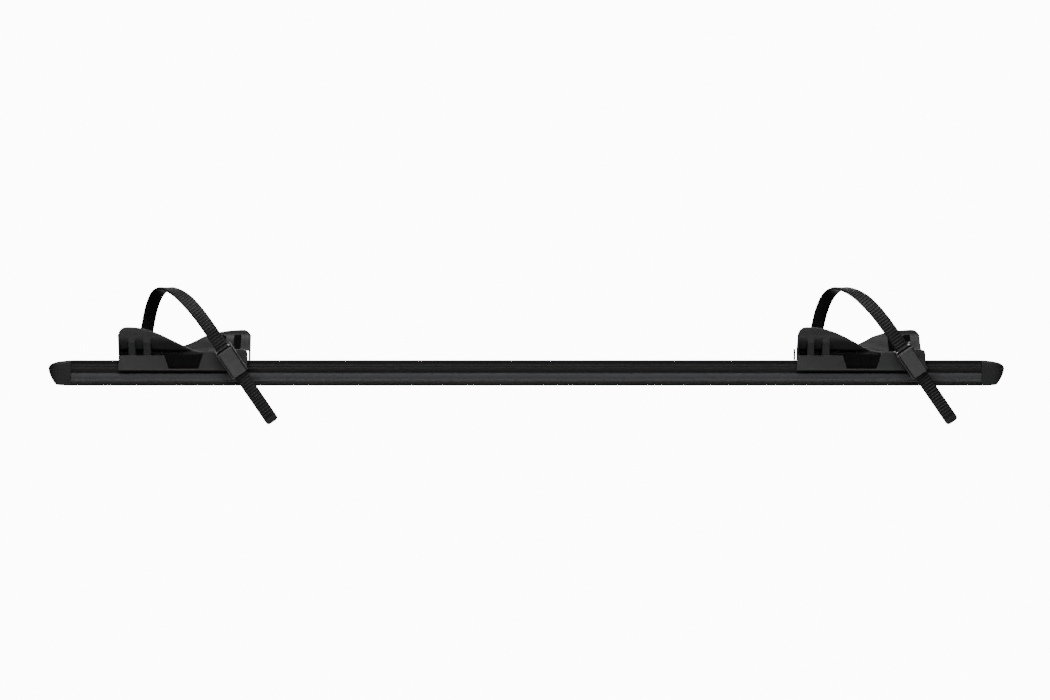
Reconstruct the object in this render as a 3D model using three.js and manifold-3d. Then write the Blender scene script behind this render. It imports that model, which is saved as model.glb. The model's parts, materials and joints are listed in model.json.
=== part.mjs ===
import * as THREE from 'three';
import { mergeVertices } from 'three/addons/utils/BufferGeometryUtils.js';
import Module from 'manifold-3d';

// Bicycle wheel rail: a black aluminium channel, closed by nose caps, with two moulded wheel
// cradles that slide along it. Each cradle has a toothed strap and a ratchet buckle.
// Millimetres. X runs along the rail, Y across it, Z up from the rail's underside.

const GAP = 0.3; // between pieces that touch in use
const MARGIN = 5; // how far a cutting tool runs past the faces it opens

const RAIL_HALF_LENGTH = 608;
const RAIL_HEIGHT = 34.2;
const RAIL_HALF_WIDTH = 31;
const FLOOR_TOP = 9;
const FLOOR_THICKNESS = 2;
const CHANNEL_HALF_WIDTH = 27.3;
const LIP_HALF_OPENING = 23;
const LIP_UNDERSIDE = 32;

const NOSE_LENGTH = 31.7;
const NOSE_WALL = 2.6;
const PLUG_LENGTH = 22;
const CAP_SCREW_INSET = 12;

const HOLDERS = [
  { side: 'left', centre: -458.5 },
  { side: 'right', centre: 447 },
];

const CRADLE_HALF_LENGTH = 85.75;
const SKIRT_BOTTOM = 20.7;
const SKIRT_INNER = 31;
const SKIRT_OUTER = 36;
const PANEL_TOP = 40.5;
const DECK_BOTTOM = RAIL_HEIGHT + GAP;
const DECK_TOP = 38;
const BED_TOP = 34;
const PAD_TOP = 34.8; // where the tyre rests, between the heads of the clamp's bolts
const WALL_THICKNESS = 2.8;
const FLARE_HALF_WIDTH = 46.5;
const END_PLATE = 1.7;
const BLOCK_START = 24;

// A wall's rim: the height and corner radius of its high end, its fall, and its low end.
const FRONT_RIM = {
  high: 78.5,
  corner: 11.5,
  fall: [[-70, 78.5], [-59, 77.7], [-47.2, 75.3], [-37.6, 72.1], [-27, 67.2], [-16.3, 61.5], [-5.6, 55.8],
    [6.2, 49.8], [16.9, 46.6], [28, 45.3], [40, 45.1]],
  low: 45.1,
  end: 48.2,
};
const REAR_RIM = {
  high: 75.3,
  corner: 10,
  fall: [[-72, 75.3], [-64.9, 74.9], [-54.1, 74], [-48.7, 73.2], [-35.5, 70.1], [-21.7, 65.3], [-10.9, 59.3],
    [0, 54.2], [11, 51.1], [22, 50.1]],
  low: 50.1,
  end: 50.1,
};

const ANCHOR = { x: 61.4, z: 40 }; // bolt of the strap, and of the buckle on the other side
const CLAMP_PITCH = 50;
const PLATE_HALF_LENGTH = 62;
const PLATE_TOP = LIP_UNDERSIDE - GAP;
const PLATE_THICKNESS = 3;
const M5 = { radius: 2.5, hole: 2.8, head: 4.75, headHeight: 2.6, flats: 8, nutHeight: 4 };

const STRAP_WIDTH = 17.6;
const STRAP_THICKNESS = 2.2;
const TOOTH_PITCH = 4.1;
const TOOTH_HEIGHT = 1.1;
const TOOTH_RISE = 0.5;
const TOOTH_CREST_END = 2.4;
const STRAP_CENTRE_OUT = 8.6; // strap's middle, out from the cradle's front face
const TAIL_END = 96.3; // of the strap, from the buckle's origin
const TIP_PLAIN = 8.5;

// The buckle's own axes: x down the strap, y across it, z out from the cradle's front face.
const STRAP_FALL = new THREE.Vector3(0.565, 0, -0.825).normalize();
const BUCKLE = new THREE.Vector3(67, -SKIRT_OUTER, 31.34);
const FRAME_BACK = -25;
const FRAME_FRONT = 19;
const FRAME_HALF_WIDTH = 12.25;
const CHEEK = 1.7;
const BASE_TOP = 3;
const CHEEK_TOP = 14.4;
const LEVER_HALF_WIDTH = 10;
const LEVER_END = 19.7;
const LEVER_UNDERSIDE = 14;
const LEVER_TOP = 16.2;
const AXLE = { x: -16.6, z: 13.6, radius: 1.5, hub: 2.5 };
const DRIVE = { x: -8.2, z: 12.5, radius: 0.8, hub: 1.25, halfWidth: 6.4, ear: 8.7 };
const HOLD = { x: -22, z: 12.8, radius: 0.8, hub: 1.5, halfWidth: 8 };
const VALLEY = -20.7; // a tooth's valley, where the holding pawl drops in
const PAWL_TIP_Z = 10.4;
const BUCKLE_BOLT_X = -10.2;

const MATERIALS = {
  anodised: new THREE.MeshStandardMaterial({ color: 0x2b2c2e, roughness: 0.42, metalness: 0.85 }),
  moulding: new THREE.MeshStandardMaterial({ color: 0x1c1d1e, roughness: 0.6, metalness: 0 }),
  strap: new THREE.MeshStandardMaterial({ color: 0x161617, roughness: 0.55, metalness: 0 }),
  lever: new THREE.MeshStandardMaterial({ color: 0x2a2b2c, roughness: 0.5, metalness: 0 }),
  blackSteel: new THREE.MeshStandardMaterial({ color: 0x242426, roughness: 0.35, metalness: 0.9 }),
  zinc: new THREE.MeshStandardMaterial({ color: 0xa8aaad, roughness: 0.35, metalness: 1 }),
};

const wasm = await Module();
wasm.setup();

// ---- solids -------------------------------------------------------------------------------

function solid(geometry) {
  const bare = geometry.clone();
  bare.deleteAttribute('normal');
  bare.deleteAttribute('uv');
  const merged = mergeVertices(bare, 1e-4);
  const vertProperties = Float32Array.from(merged.attributes.position.array);
  const triVerts = Uint32Array.from(merged.index.array);
  return new wasm.Manifold(new wasm.Mesh({ numProp: 3, vertProperties, triVerts }));
}

function geometryOf(manifold) {
  const { vertProperties, triVerts } = manifold.getMesh();
  const geometry = new THREE.BufferGeometry();
  geometry.setAttribute('position', new THREE.BufferAttribute(vertProperties, 3));
  geometry.setIndex(new THREE.BufferAttribute(triVerts, 1));
  geometry.computeVertexNormals();
  return geometry;
}

function join(first, ...others) {
  return others.reduce((whole, piece) => whole.add(piece), first);
}

function cut(first, ...tools) {
  return tools.reduce((whole, tool) => whole.subtract(tool), first);
}

function shapeOf(points) {
  return new THREE.Shape(points.map(([u, v]) => new THREE.Vector2(u, v)));
}

function extruded(outline, depth, matrix) {
  const shape = outline instanceof THREE.Shape ? outline : shapeOf(outline);
  const geometry = new THREE.ExtrudeGeometry(shape, { depth, bevelEnabled: false, curveSegments: 8 });
  return solid(geometry.applyMatrix4(matrix));
}

// An outline in Y and Z, run from x0 to x1.
function alongX(outline, x0, x1) {
  const matrix = new THREE.Matrix4().set(0, 0, 1, x0, 1, 0, 0, 0, 0, 1, 0, 0, 0, 0, 0, 1);
  return extruded(outline, x1 - x0, matrix);
}

// An outline in X and Z, run from y0 to y1.
function alongY(outline, y0, y1) {
  const matrix = new THREE.Matrix4().set(1, 0, 0, 0, 0, 0, -1, y1, 0, 1, 0, 0, 0, 0, 0, 1);
  return extruded(outline, y1 - y0, matrix);
}

// An outline in X and Y, run from z0 to z1.
function alongZ(outline, z0, z1) {
  return extruded(outline, z1 - z0, new THREE.Matrix4().makeTranslation(0, 0, z0));
}

function box([x0, x1], [y0, y1], [z0, z1]) {
  const geometry = new THREE.BoxGeometry(x1 - x0, y1 - y0, z1 - z0);
  return solid(geometry.translate((x0 + x1) / 2, (y0 + y1) / 2, (z0 + z1) / 2));
}

function discOutline(u, v, radius, sides = 20) {
  return Array.from({ length: sides }, (_, i) => {
    const angle = ((i + 0.5) / sides) * 2 * Math.PI;
    return [u + radius * Math.cos(angle), v + radius * Math.sin(angle)];
  });
}

function hexOutline(u, v, acrossFlats) {
  return discOutline(u, v, acrossFlats / Math.sqrt(3), 6);
}

function rod(run, u, v, radius, from, to) {
  return run(discOutline(u, v, radius), from, to);
}

function mesh(name, body, material) {
  const piece = new THREE.Mesh(geometryOf(body), material);
  piece.name = name;
  return piece;
}

// A head with a hexagonal socket on a shank; "run" sets the direction, "out" its sign.
function bolt(run, u, v, face, out, shankEnd) {
  const span = (a, b) => (a < b ? [a, b] : [b, a]);
  const headTop = face + out * M5.headHeight;
  const overlap = face + out * 0.5;
  const head = rod(run, u, v, M5.head, ...span(face, headTop));
  const shank = rod(run, u, v, M5.radius, ...span(overlap, shankEnd));
  const socket = run(hexOutline(u, v, 4), ...span(headTop - out * 1.4, headTop + out));
  return cut(join(head, shank), socket);
}

function nut(run, u, v, from, to) {
  return cut(run(hexOutline(u, v, M5.flats), from, to), rod(run, u, v, M5.hole, from - 1, to + 1));
}

// ---- rail and its caps --------------------------------------------------------------------

function railOutline() {
  const half = [
    [4.1, 0],
    [25, 0],
    [28.8, 0.8],
    [30.4, 2.4],
    [30.5, 3.4],
    [30, 4.5],
    [RAIL_HALF_WIDTH, 5.7],
    [RAIL_HALF_WIDTH, 16.2],
    [29, 17.2],
    [29, 21],
    [29.6, 21.8],
    [29.6, 23.8],
    [29.1, 24.6],
    [29.6, 25.4],
    [29.6, 27.4],
    [29.1, 28.3],
    [29.8, 29.2],
    [29.8, 33.4],
    [29, RAIL_HEIGHT],
    [LIP_HALF_OPENING, RAIL_HEIGHT],
    [LIP_HALF_OPENING, LIP_UNDERSIDE],
    [CHANNEL_HALF_WIDTH, LIP_UNDERSIDE],
    [CHANNEL_HALF_WIDTH, FLOOR_TOP + 1],
    [CHANNEL_HALF_WIDTH - 1, FLOOR_TOP],
  ];
  const slot = [
    [-8.6, FLOOR_TOP - FLOOR_THICKNESS],
    [8.6, FLOOR_TOP - FLOOR_THICKNESS],
    [8.6, 2.2],
    [4.1, 2.2],
  ];
  const mirrored = half.map(([y, z]) => [-y, z]).reverse();
  return shapeOf([...half, ...mirrored, [-4.1, 2.2], [-8.6, 2.2], ...slot]);
}

function rail() {
  const body = alongX(railOutline(), -RAIL_HALF_LENGTH, RAIL_HALF_LENGTH);
  const chamber = [[10.4, 2.2], [27.4, 2.2], [28.6, 3.6], [28.6, 7], [10.4, 7]];
  const chambers = [-1, 1].map((side) => {
    const outline = chamber.map(([y, z]) => [side * y, z]);
    return alongX(outline, -RAIL_HALF_LENGTH - MARGIN, RAIL_HALF_LENGTH + MARGIN);
  });
  const screwX = RAIL_HALF_LENGTH - CAP_SCREW_INSET;
  const holes = [-screwX, screwX].map((x) => rod(alongZ, x, 0, 2, 5, FLOOR_TOP + MARGIN));
  return cut(body, ...chambers, ...holes);
}

// The nose in its own axes: x from the seam to the tip.
function noseBlock() {
  const side = new THREE.Shape();
  side.moveTo(0, 0);
  side.quadraticCurveTo(NOSE_LENGTH - 13, 0.4, NOSE_LENGTH - 11.2, 1.7);
  side.bezierCurveTo(NOSE_LENGTH - 5.5, 8.5, NOSE_LENGTH - 0.9, 17, NOSE_LENGTH, 23.3);
  side.bezierCurveTo(NOSE_LENGTH - 0.2, 31.5, NOSE_LENGTH - 18, 33.6, 0, RAIL_HEIGHT);
  const plan = new THREE.Shape();
  plan.moveTo(0, -RAIL_HALF_WIDTH);
  plan.lineTo(14, -RAIL_HALF_WIDTH);
  plan.quadraticCurveTo(NOSE_LENGTH, -RAIL_HALF_WIDTH + 1, NOSE_LENGTH, -14);
  plan.lineTo(NOSE_LENGTH, 14);
  plan.quadraticCurveTo(NOSE_LENGTH, RAIL_HALF_WIDTH - 1, 14, RAIL_HALF_WIDTH);
  plan.lineTo(0, RAIL_HALF_WIDTH);
  return alongY(side, -40, 40).intersect(alongZ(plan, -1, 40));
}

function endCap() {
  const nose = noseBlock();
  const shrink = [
    (NOSE_LENGTH - 2 * NOSE_WALL) / NOSE_LENGTH,
    (RAIL_HALF_WIDTH - NOSE_WALL) / RAIL_HALF_WIDTH,
    (RAIL_HEIGHT - 2 * NOSE_WALL) / RAIL_HEIGHT,
  ];
  const hollow = nose.scale(shrink).translate([NOSE_WALL, 0, NOSE_WALL]);
  const mouth = box([-MARGIN, 2 * NOSE_WALL], [-22, 22], [12, 30]);
  const legInner = CHANNEL_HALF_WIDTH - GAP - 2.4;
  const legs = [-1, 1].map((side) => {
    const y = [side * legInner, side * (CHANNEL_HALF_WIDTH - GAP)].sort((a, b) => a - b);
    return box([-PLUG_LENGTH, 1], y, [FLOOR_TOP + 1, PLATE_TOP]);
  });
  const shelfHalf = CHANNEL_HALF_WIDTH - 1 - GAP;
  const shelf = box([-PLUG_LENGTH, 1], [-shelfHalf, shelfHalf], [FLOOR_TOP + GAP, 12]);
  const screwHole = rod(alongZ, -CAP_SCREW_INSET, 0, 2, FLOOR_TOP - 1, 12 + MARGIN);
  return cut(join(cut(nose, hollow, mouth), ...legs, shelf), screwHole);
}

function capScrew() {
  const seat = 12 + GAP;
  const head = rod(alongZ, -CAP_SCREW_INSET, 0, 3.6, seat, seat + 2.2);
  const shank = rod(alongZ, -CAP_SCREW_INSET, 0, 1.7, 4, seat + 0.5);
  const slot = box([-CAP_SCREW_INSET - 2.4, -CAP_SCREW_INSET + 2.4], [-0.4, 0.4], [seat + 1.2, seat + 3]);
  return cut(join(head, shank), slot);
}

// ---- cradle -------------------------------------------------------------------------------

// The outside of a wall, from the rail's lips up to its vertical upper edge.
function flareCurve() {
  const curve = new THREE.CubicBezierCurve(
    new THREE.Vector2(23.6, 47),
    new THREE.Vector2(33.5, 54),
    new THREE.Vector2(45.3, 59),
    new THREE.Vector2(FLARE_HALF_WIDTH, 70),
  );
  return curve.getPoints(8);
}

function wallOutline(side) {
  const outer = [new THREE.Vector2(22.6, 32), new THREE.Vector2(22.8, 40), ...flareCurve()];
  outer.push(new THREE.Vector2(FLARE_HALF_WIDTH, 90));
  const inner = outer.map((point, i) => {
    const before = outer[Math.max(i - 1, 0)];
    const after = outer[Math.min(i + 1, outer.length - 1)];
    const run = after.clone().sub(before).normalize();
    return new THREE.Vector2(point.x - run.y * WALL_THICKNESS, point.y + run.x * WALL_THICKNESS);
  });
  return [...outer, ...inner.reverse()].map(({ x, y }) => [side * x, y]);
}

// The round corner at the low end of a rim.
function lowCorner(last, top) {
  return [[last - 4.8, top], [last - 1.6, top - 1.4], [last - 0.4, top - 3.4], [last, top - 6]];
}

// The rim seen from the side, high at x = -1 times the length, low at the other end.
function rimOutline({ high, corner, fall, low, end }) {
  const L = CRADLE_HALF_LENGTH;
  const knots = fall.map(([x, z]) => new THREE.Vector2(x, z));
  const drop = new THREE.SplineCurve(knots).getPoints(26).map(({ x, y }) => [x, y]);
  const arc = Array.from({ length: 6 }, (_, i) => {
    const angle = Math.PI - (i / 5) * (Math.PI / 2);
    return [-L + 0.4 + corner + corner * Math.cos(angle), high - corner + corner * Math.sin(angle)];
  });
  return [
    [-L, 0],
    [-L, 50],
    ...arc,
    ...drop,
    [45, low],
    [70, end],
    ...lowCorner(L, end),
    [L, 0],
  ];
}

// Front (side = -1) and rear (side = 1) walls; the rear one is turned end for end.
function cradleWall(side, rim) {
  const wall = alongX(wallOutline(side), -CRADLE_HALF_LENGTH, CRADLE_HALF_LENGTH);
  const outline = rimOutline(rim).map(([x, z]) => [-side * x, z]);
  return wall.intersect(alongY(outline, -60, 60));
}

function sideBox(side, [x0, x1], [y0, y1], z) {
  const xs = [-side * x0, -side * x1].sort((a, b) => a - b);
  const ys = [side * y0, side * y1].sort((a, b) => a - b);
  return box(xs, ys, z);
}

// Gussets under the flare of the high end, in line with the panel's face.
function rib(side, x0, x1) {
  const outline = [[22.7, 36], [35.9, 36], [35.9, PANEL_TOP], [46.3, 69], [38.2, 58.4], [23.6, 48]];
  const [from, to] = [-side * x0, -side * x1].sort((a, b) => a - b);
  return alongX(outline.map(([y, z]) => [side * y, z]), from, to);
}

// The block under the low end; at the rear it stops short of the window.
function lowBlock(side, rim) {
  const L = CRADLE_HALF_LENGTH;
  const last = side < 0 ? L : 77.5;
  const outline = [
    [BLOCK_START, DECK_BOTTOM],
    [BLOCK_START + 4, rim.low - 0.4],
    [45, rim.low],
    [70, rim.end],
    ...lowCorner(last, rim.end),
    [last, DECK_BOTTOM],
  ];
  const span = side < 0 ? [-SKIRT_OUTER, -21] : [21, SKIRT_OUTER];
  const block = alongY(outline.map(([x, z]) => [-side * x, z]), ...span);
  const foot = sideBox(side, [BLOCK_START, L], [21, SKIRT_OUTER], [DECK_BOTTOM, BED_TOP + 2.5]);
  return side < 0 ? join(block, foot) : block;
}

function cradleSide(side, rim) {
  const L = CRADLE_HALF_LENGTH;
  const skirtTop = side < 0 ? PANEL_TOP : DECK_BOTTOM + 2;
  const skirt = sideBox(side, [-L, L], [SKIRT_INNER, SKIRT_OUTER], [SKIRT_BOTTOM, skirtTop]);
  const deck = sideBox(side, [-76, 76], [21, SKIRT_OUTER - 0.2], [DECK_BOTTOM, DECK_TOP]);
  const panel = sideBox(side, [-76, 76], [33.4, SKIRT_OUTER], [DECK_BOTTOM, PANEL_TOP]);
  const ribs = [rib(side, -72.3, -63), rib(side, -52.3, -42.3), rib(side, -L, -L + END_PLATE)];
  const whole = join(skirt, deck, panel, ...ribs, lowBlock(side, rim), cradleWall(side, rim));
  if (side < 0) return whole;
  return join(whole, sideBox(side, [L - END_PLATE, L], [21, SKIRT_OUTER], [DECK_BOTTOM, rim.end - 2]));
}

function cradle() {
  const L = CRADLE_HALF_LENGTH;
  const bed = box([-L, L], [-22.6, 22.6], [LIP_UNDERSIDE, BED_TOP]);
  const pad = box([-42, 42], [-19, 19], [BED_TOP - 0.5, PAD_TOP]);
  const body = join(bed, pad, cradleSide(-1, FRONT_RIM), cradleSide(1, REAR_RIM));
  const tools = [];
  const recess = [[-25.6, 44], [-18.9, 23], [20.4, 23], [27.5, 44]];
  tools.push(alongY(recess, -40, -33.2));
  tools.push(alongY(recess.map(([x, z]) => [-x, z]), 33.2, 40));
  tools.push(box([-L + END_PLATE, -77.8], [15, 48], [BED_TOP + 0.4, 60]));
  tools.push(box([77.8, L - END_PLATE], [15, 48], [BED_TOP + 0.4, 46.5]));
  for (const x of [-CLAMP_PITCH, CLAMP_PITCH]) {
    tools.push(rod(alongZ, x, 0, M5.hole, LIP_UNDERSIDE - 1, BED_TOP + 1));
  }
  const [bx, , bz] = buckleToCradle(BUCKLE_BOLT_X, 0);
  tools.push(rod(alongY, bx, bz, M5.hole, -40, -15));
  tools.push(alongY(hexOutline(bx, bz, M5.flats + 0.8), -24.8, -15));
  tools.push(rod(alongY, -ANCHOR.x, ANCHOR.z, M5.hole, 15, 40));
  tools.push(alongY(hexOutline(-ANCHOR.x, ANCHOR.z, M5.flats + 0.8), 15, 24.8));
  return cut(body, ...tools);
}

function clampPlate() {
  const L = PLATE_HALF_LENGTH;
  const half = CHANNEL_HALF_WIDTH - 0.5;
  const plate = box([-L, L], [-half, half], [PLATE_TOP - PLATE_THICKNESS, PLATE_TOP]);
  const holes = [-CLAMP_PITCH, CLAMP_PITCH].map((x) => rod(alongZ, x, 0, M5.hole, 20, 40));
  return cut(plate, ...holes);
}

// ---- strap --------------------------------------------------------------------------------

function buckleToCradle(x, z) {
  return [BUCKLE.x + x * STRAP_FALL.x, BUCKLE.y - z, BUCKLE.z + x * STRAP_FALL.z];
}

function strapPath() {
  const rearY = SKIRT_OUTER + 0.4 + STRAP_THICKNESS / 2;
  const loop = [
    [-63.1, rearY, 31.2],
    [-61.4, rearY, 40],
    [-59.5, rearY, 50.5],
    [-56.6, rearY - 1.9, 64],
    [-53, 32.2, 80.9],
    [-48.3, 25.8, 101.2],
    [-42.1, 17.2, 117.2],
    [-35.2, 7, 126.3],
    [-26, -5.5, 130],
    [-12.5, -19.5, 126.5],
    [1.8, -32, 117],
    [16.4, -39.1, 102.2],
    [28.7, -42.7, 86.8],
  ];
  const straight = [-52, -40, -22, 0, 20, 50, 75, TAIL_END];
  const tail = straight.map((x) => buckleToCradle(x, STRAP_CENTRE_OUT));
  const points = [...loop, ...tail].map((point) => new THREE.Vector3(...point));
  const path = new THREE.CatmullRomCurve3(points, false, 'centripetal');
  path.arcLengthDivisions = 1200;
  return path;
}

// Distances along the strap with the half width and the tooth height at each.
function strapStations(length) {
  const half = STRAP_WIDTH / 2;
  const stations = [];
  for (let i = 0; i <= 4; i += 1) {
    const angle = (i / 4) * (Math.PI / 2);
    stations.push({ at: half * (1 - Math.cos(angle)), half: Math.max(half * Math.sin(angle), 2), rise: 0 });
  }
  const buckleAt = length - TAIL_END;
  const lastTooth = Math.floor((TAIL_END - TIP_PLAIN - VALLEY) / TOOTH_PITCH);
  const firstTooth = lastTooth - 60;
  const firstAt = buckleAt + VALLEY + firstTooth * TOOTH_PITCH;
  const plainSteps = 16;
  for (let i = 1; i <= plainSteps; i += 1) {
    const at = half + ((firstAt - half) * i) / (plainSteps + 0.5);
    stations.push({ at, half, rise: 0 });
  }
  for (let tooth = firstTooth; tooth < lastTooth; tooth += 1) {
    const valley = buckleAt + VALLEY + tooth * TOOTH_PITCH;
    stations.push({ at: valley, half, rise: 0 });
    stations.push({ at: valley + TOOTH_RISE, half, rise: TOOTH_HEIGHT });
    stations.push({ at: valley + TOOTH_CREST_END, half, rise: TOOTH_HEIGHT });
  }
  stations.push({ at: buckleAt + VALLEY + lastTooth * TOOTH_PITCH, half, rise: 0 });
  const corner = 4.5;
  for (let i = 0; i <= 3; i += 1) {
    const angle = (i / 3) * (Math.PI / 2);
    const at = length - corner + corner * Math.sin(angle);
    stations.push({ at, half: half - corner + corner * Math.cos(angle), rise: 0 });
  }
  return stations;
}

// A ribbon whose flat face stays square to a plane through the X axis, as a strap over a tyre does.
function strap() {
  const path = strapPath();
  const length = path.getLength();
  const corners = [];
  const faces = [];
  const stations = strapStations(length);
  stations.forEach(({ at, half, rise }, i) => {
    const u = at / length;
    const centre = path.getPointAt(u);
    const run = path.getTangentAt(u);
    const out = new THREE.Vector3(0, run.z, -run.y).normalize();
    const across = out.clone().cross(run).normalize();
    const low = -STRAP_THICKNESS / 2;
    const high = STRAP_THICKNESS / 2 + rise;
    for (const [a, b] of [[-half, low], [half, low], [half, high], [-half, high]]) {
      corners.push(...centre.clone().addScaledVector(across, a).addScaledVector(out, b).toArray());
    }
    if (i === 0) return;
    const [p, q] = [(i - 1) * 4, i * 4];
    for (let j = 0; j < 4; j += 1) {
      const k = (j + 1) % 4;
      faces.push(p + j, p + k, q + k, p + j, q + k, q + j);
    }
  });
  const end = (stations.length - 1) * 4;
  faces.push(0, 2, 1, 0, 3, 2, end, end + 1, end + 2, end, end + 2, end + 3);
  const geometry = new THREE.BufferGeometry();
  geometry.setAttribute('position', new THREE.Float32BufferAttribute(corners, 3));
  geometry.setIndex(faces);
  return cut(solid(geometry), rod(alongY, -ANCHOR.x, ANCHOR.z, M5.hole, 30, 45));
}

// ---- ratchet buckle, in its own axes ------------------------------------------------------

function buckleFrame() {
  const base = box([FRAME_BACK, FRAME_FRONT], [-FRAME_HALF_WIDTH, FRAME_HALF_WIDTH], [GAP, BASE_TOP]);
  const cheek = [
    [FRAME_BACK, GAP],
    [FRAME_FRONT, GAP],
    [FRAME_FRONT, CHEEK_TOP - 2.2],
    [FRAME_FRONT - 1.8, CHEEK_TOP],
    [-19, CHEEK_TOP],
    [-22.5, CHEEK_TOP + 1.2],
    [FRAME_BACK, CHEEK_TOP - 1.2],
  ];
  const inner = FRAME_HALF_WIDTH - CHEEK;
  const cheeks = [
    alongY(cheek, -FRAME_HALF_WIDTH, -inner),
    alongY(cheek, inner, FRAME_HALF_WIDTH),
  ];
  const holes = [
    rod(alongY, AXLE.x, AXLE.z, AXLE.radius + GAP, -20, 20),
    rod(alongY, HOLD.x, HOLD.z, HOLD.radius + GAP, -20, 20),
    rod(alongZ, BUCKLE_BOLT_X, 0, M5.hole, -1, 5),
  ];
  return cut(join(base, ...cheeks), ...holes);
}

function ratchetLever() {
  const W = LEVER_HALF_WIDTH;
  const plate = [
    [AXLE.x, LEVER_UNDERSIDE],
    [LEVER_END - 1.5, LEVER_UNDERSIDE],
    [LEVER_END, LEVER_UNDERSIDE + 0.8],
    [LEVER_END, LEVER_TOP - 0.6],
    [LEVER_END - 1, LEVER_TOP],
    [AXLE.x, LEVER_TOP - 0.1],
  ];
  const ear = [[-14, LEVER_UNDERSIDE + 0.5], [-12, 11.3], [-5, 11.3], [16, 12.6], [16, LEVER_UNDERSIDE + 0.5]];
  const ears = [alongY(ear, -W, -DRIVE.ear), alongY(ear, DRIVE.ear, W)];
  const hub = rod(alongY, AXLE.x, AXLE.z, AXLE.hub, -W, W);
  const body = join(alongY(plate, -W, W), hub, ...ears);
  const holes = [
    rod(alongY, AXLE.x, AXLE.z, AXLE.radius + GAP, -20, 20),
    rod(alongY, DRIVE.x, DRIVE.z, DRIVE.radius + GAP, -20, 20),
  ];
  return cut(body, ...holes);
}

// A pawl: a hub on its pin and a tooth that reaches down into a valley of the strap.
function pawl(pivot, valley) {
  const tooth = [
    [pivot.x, pivot.z + pivot.hub],
    [pivot.x - pivot.hub * 0.7, pivot.z - pivot.hub * 0.6],
    [valley - 1.7, PAWL_TIP_Z + 0.7],
    [valley - 0.6, PAWL_TIP_Z],
    [valley - 0.2, PAWL_TIP_Z],
    [valley + 0.1, PAWL_TIP_Z + 0.8],
  ];
  const body = join(
    alongY(tooth, -pivot.halfWidth, pivot.halfWidth),
    rod(alongY, pivot.x, pivot.z, pivot.hub, -pivot.halfWidth, pivot.halfWidth),
  );
  return cut(body, rod(alongY, pivot.x, pivot.z, pivot.radius + GAP, -20, 20));
}

function pin(pivot, halfLength) {
  return rod(alongY, pivot.x, pivot.z, pivot.radius, -halfLength, halfLength);
}

// A torsion spring's coil, as the sleeve that its turns fill.
function springCoil(pivot, y0, y1) {
  const bore = rod(alongY, pivot.x, pivot.z, pivot.radius + GAP, y0 - 1, y1 + 1);
  return cut(rod(alongY, pivot.x, pivot.z, pivot.radius + GAP + 0.3, y0, y1), bore);
}

function buckleGroup(name) {
  const group = new THREE.Group();
  const across = new THREE.Vector3(-STRAP_FALL.z, 0, STRAP_FALL.x);
  const outward = new THREE.Vector3(0, -1, 0);
  group.setRotationFromMatrix(new THREE.Matrix4().makeBasis(STRAP_FALL, across, outward));
  group.position.copy(BUCKLE);
  const driveValley = VALLEY + 4 * TOOTH_PITCH;
  const boltFace = BASE_TOP + GAP;
  const nutFace = -(SKIRT_OUTER - 24.4);
  group.add(
    mesh(name('buckle_frame'), buckleFrame(), MATERIALS.blackSteel),
    mesh(name('buckle_bolt'), bolt(alongZ, BUCKLE_BOLT_X, 0, boltFace, 1, nutFace - 3), MATERIALS.zinc),
    mesh(name('buckle_nut'), nut(alongZ, BUCKLE_BOLT_X, 0, nutFace - M5.nutHeight, nutFace), MATERIALS.zinc),
    mesh(name('ratchet_lever'), ratchetLever(), MATERIALS.lever),
    mesh(name('lever_pin'), pin(AXLE, FRAME_HALF_WIDTH + 0.5), MATERIALS.blackSteel),
    mesh(name('drive_pawl'), pawl(DRIVE, driveValley), MATERIALS.zinc),
    mesh(name('drive_pin'), pin(DRIVE, LEVER_HALF_WIDTH - 0.2), MATERIALS.zinc),
    mesh(name('drive_spring'), springCoil(DRIVE, 6.7, 8.4), MATERIALS.zinc),
    mesh(name('holding_pawl'), pawl(HOLD, VALLEY), MATERIALS.blackSteel),
    mesh(name('holding_pin'), pin(HOLD, FRAME_HALF_WIDTH), MATERIALS.zinc),
    mesh(name('holding_spring'), springCoil(HOLD, 8.3, 10.2), MATERIALS.zinc),
  );
  return group;
}

// ---- one wheel holder ---------------------------------------------------------------------

function holder({ side, centre }) {
  const name = (piece) => `${side}_${piece}`;
  const group = new THREE.Group();
  group.position.x = centre;
  group.add(
    mesh(name('cradle'), cradle(), MATERIALS.moulding),
    mesh(name('clamp_plate'), clampPlate(), MATERIALS.zinc),
    mesh(name('strap'), strap(), MATERIALS.strap),
    buckleGroup(name),
  );
  [-CLAMP_PITCH, CLAMP_PITCH].forEach((x, i) => {
    const plateBottom = PLATE_TOP - PLATE_THICKNESS - GAP;
    const shank = bolt(alongZ, x, 0, BED_TOP + GAP, 1, plateBottom - 5);
    const hex = nut(alongZ, x, 0, plateBottom - M5.nutHeight, plateBottom);
    group.add(mesh(name(`clamp_bolt_${i + 1}`), shank, MATERIALS.zinc));
    group.add(mesh(name(`clamp_nut_${i + 1}`), hex, MATERIALS.zinc));
  });
  const strapFace = SKIRT_OUTER + 0.4 + STRAP_THICKNESS + GAP;
  const washer = cut(
    rod(alongY, -ANCHOR.x, ANCHOR.z, 6, strapFace, strapFace + 0.8),
    rod(alongY, -ANCHOR.x, ANCHOR.z, M5.hole, 30, 50),
  );
  const head = strapFace + 0.8 + GAP;
  group.add(
    mesh(name('strap_bolt'), bolt(alongY, -ANCHOR.x, ANCHOR.z, head, 1, 21.2), MATERIALS.zinc),
    mesh(name('strap_washer'), washer, MATERIALS.zinc),
    mesh(name('strap_nut'), nut(alongY, -ANCHOR.x, ANCHOR.z, 20.4, 24.4), MATERIALS.zinc),
  );
  return group;
}

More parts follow.
